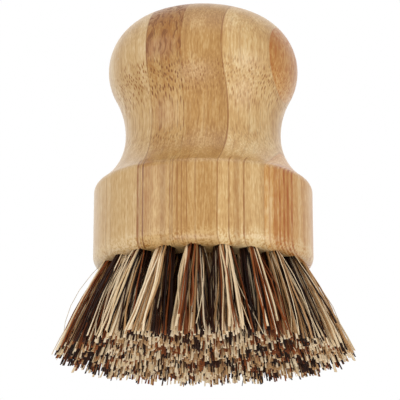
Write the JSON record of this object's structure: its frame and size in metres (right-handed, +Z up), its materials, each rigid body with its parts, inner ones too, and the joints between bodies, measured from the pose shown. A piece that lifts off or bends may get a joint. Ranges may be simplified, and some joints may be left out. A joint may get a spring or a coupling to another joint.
{
  "type": "palm brush",
  "caption": "Palm brush: a turned, board-laminated bamboo knob handle with stiff plant-fibre tufts flaring from drilled holes in its base.",
  "frame": {"origin": "the middle of the flat disc that the trimmed bristle tips make, on the surface that the brush stands on", "axes": "+Z up along the turning axis to the knob, -Y towards the viewer of the picture, +X to the viewer's right"},
  "size_m": [0.0722, 0.0723, 0.0912],
  "materials": {
    "bamboo": "turned and sanded bamboo, satin oil finish, grain lines along the axis",
    "fibre": "stiff mixed plant fibres, cream, tan, red-brown and near black, trimmed flat",
    "anchor_wire": "flat galvanised anchor wire, hidden in the holes"
  },
  "bodies": {
    "root": {"board_1": "bamboo", "board_2": "bamboo", "board_3": "bamboo", "board_4": "bamboo", "board_5": "bamboo", "board_6": "bamboo", "board_6_knob": "bamboo", "outer_tuft_1": "fibre", "outer_tuft_2": "fibre", "outer_tuft_3": "fibre", "outer_tuft_4": "fibre", "outer_tuft_5": "fibre", "outer_tuft_6": "fibre", "outer_tuft_7": "fibre", "outer_tuft_8": "fibre", "outer_tuft_9": "fibre", "outer_tuft_10": "fibre", "outer_tuft_11": "fibre", "outer_tuft_12": "fibre", "outer_tuft_13": "fibre", "outer_tuft_14": "fibre", "outer_tuft_15": "fibre", "outer_tuft_16": "fibre", "outer_tuft_17": "fibre", "outer_tuft_18": "fibre", "outer_tuft_19": "fibre", "outer_tuft_20": "fibre", "outer_tuft_21": "fibre", "outer_tuft_22": "fibre", "middle_tuft_1": "fibre", "middle_tuft_2": "fibre", "middle_tuft_3": "fibre", "middle_tuft_4": "fibre", "middle_tuft_5": "fibre", "middle_tuft_6": "fibre", "middle_tuft_7": "fibre", "middle_tuft_8": "fibre", "middle_tuft_9": "fibre", "middle_tuft_10": "fibre", "middle_tuft_11": "fibre", "middle_tuft_12": "fibre", "middle_tuft_13": "fibre", "middle_tuft_14": "fibre", "middle_tuft_15": "fibre", "inner_tuft_1": "fibre", "inner_tuft_2": "fibre", "inner_tuft_3": "fibre", "inner_tuft_4": "fibre", "inner_tuft_5": "fibre", "inner_tuft_6": "fibre", "inner_tuft_7": "fibre", "centre_tuft": "fibre", "tuft_anchors": "anchor_wire"}
  },
  "joints": []
}
